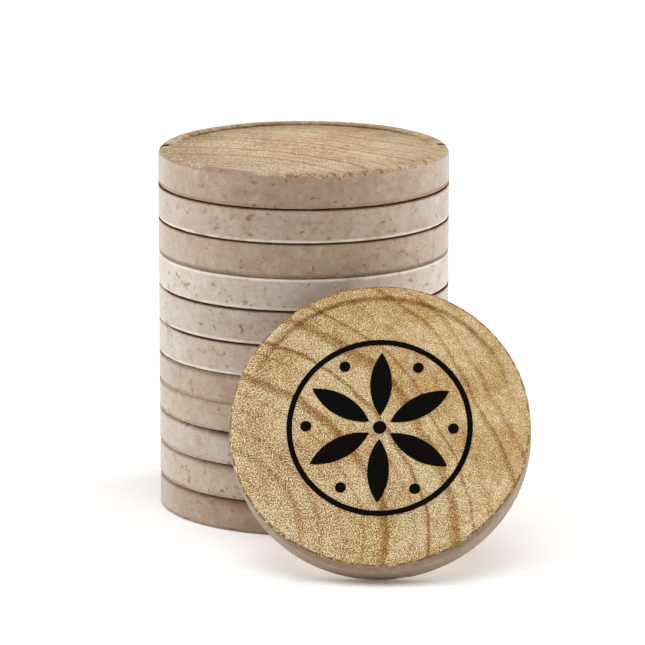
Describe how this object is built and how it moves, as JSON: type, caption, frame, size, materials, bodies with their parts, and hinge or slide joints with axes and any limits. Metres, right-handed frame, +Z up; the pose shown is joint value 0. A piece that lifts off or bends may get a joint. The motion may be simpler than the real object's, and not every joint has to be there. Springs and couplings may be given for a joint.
{
  "type": "game token set",
  "caption": "Straight stack of round wooden game tokens with raised rims, and one printed token leaning on its front. Each is a fibre core between wood faces.",
  "frame": {"origin": "middle of the set's footprint, on the table that the tokens stand on", "axes": "+Z up along the stack, -Y to the front, where the leaning token stands, and +X to the right"},
  "size_m": [0.0314, 0.0406, 0.0312],
  "materials": {
    "pressed_fibre": "matt, flecked",
    "wood_face": "matt, with growth lines",
    "black_ink": "matt"
  },
  "bodies": {
    "token_01": {"token_01_core": "pressed_fibre", "token_01_upper_face": "wood_face", "token_01_lower_face": "wood_face"},
    "token_02": {"token_02_core": "pressed_fibre", "token_02_upper_face": "wood_face", "token_02_lower_face": "wood_face"},
    "token_03": {"token_03_core": "pressed_fibre", "token_03_upper_face": "wood_face", "token_03_lower_face": "wood_face"},
    "token_04": {"token_04_core": "pressed_fibre", "token_04_upper_face": "wood_face", "token_04_lower_face": "wood_face"},
    "token_05": {"token_05_core": "pressed_fibre", "token_05_upper_face": "wood_face", "token_05_lower_face": "wood_face"},
    "token_06": {"token_06_core": "pressed_fibre", "token_06_upper_face": "wood_face", "token_06_lower_face": "wood_face"},
    "token_07": {"token_07_core": "pressed_fibre", "token_07_upper_face": "wood_face", "token_07_lower_face": "wood_face"},
    "token_08": {"token_08_core": "pressed_fibre", "token_08_upper_face": "wood_face", "token_08_lower_face": "wood_face"},
    "token_09": {"token_09_core": "pressed_fibre", "token_09_upper_face": "wood_face", "token_09_lower_face": "wood_face"},
    "token_10": {"token_10_core": "pressed_fibre", "token_10_upper_face": "wood_face", "token_10_lower_face": "wood_face"},
    "token_11": {"token_11_core": "pressed_fibre", "token_11_upper_face": "wood_face", "token_11_lower_face": "wood_face"},
    "leaning_token": {"leaning_token_core": "pressed_fibre", "leaning_token_front_face": "wood_face", "leaning_token_back_face": "wood_face", "leaning_token_print": "black_ink"}
  },
  "joints": [
    {"name": "token_02_lift", "type": "slide", "parent": "token_01", "child": "token_02", "axis": [0, 0, 1], "range_m": [0, 0.006]},
    {"name": "token_03_lift", "type": "slide", "parent": "token_02", "child": "token_03", "axis": [0, 0, 1], "range_m": [0, 0.006]},
    {"name": "token_04_lift", "type": "slide", "parent": "token_03", "child": "token_04", "axis": [0, 0, 1], "range_m": [0, 0.006]},
    {"name": "token_05_lift", "type": "slide", "parent": "token_04", "child": "token_05", "axis": [0, 0, 1], "range_m": [0, 0.006]},
    {"name": "token_06_lift", "type": "slide", "parent": "token_05", "child": "token_06", "axis": [0, 0, 1], "range_m": [0, 0.006]},
    {"name": "token_07_lift", "type": "slide", "parent": "token_06", "child": "token_07", "axis": [0, 0, 1], "range_m": [0, 0.006]},
    {"name": "token_08_lift", "type": "slide", "parent": "token_07", "child": "token_08", "axis": [0, 0, 1], "range_m": [0, 0.006]},
    {"name": "token_09_lift", "type": "slide", "parent": "token_08", "child": "token_09", "axis": [0, 0, 1], "range_m": [0, 0.006]},
    {"name": "token_10_lift", "type": "slide", "parent": "token_09", "child": "token_10", "axis": [0, 0, 1], "range_m": [0, 0.006]},
    {"name": "token_11_lift", "type": "slide", "parent": "token_10", "child": "token_11", "axis": [0, 0, 1], "range_m": [0, 0.006]},
    {"name": "leaning_token_tip", "type": "hinge", "parent": "token_01", "child": "leaning_token", "pos_m": [0.00274, -0.01813, 0], "axis": [0.9976, -0.0698, 0], "range_deg": [0, 33.5]}
  ]
}
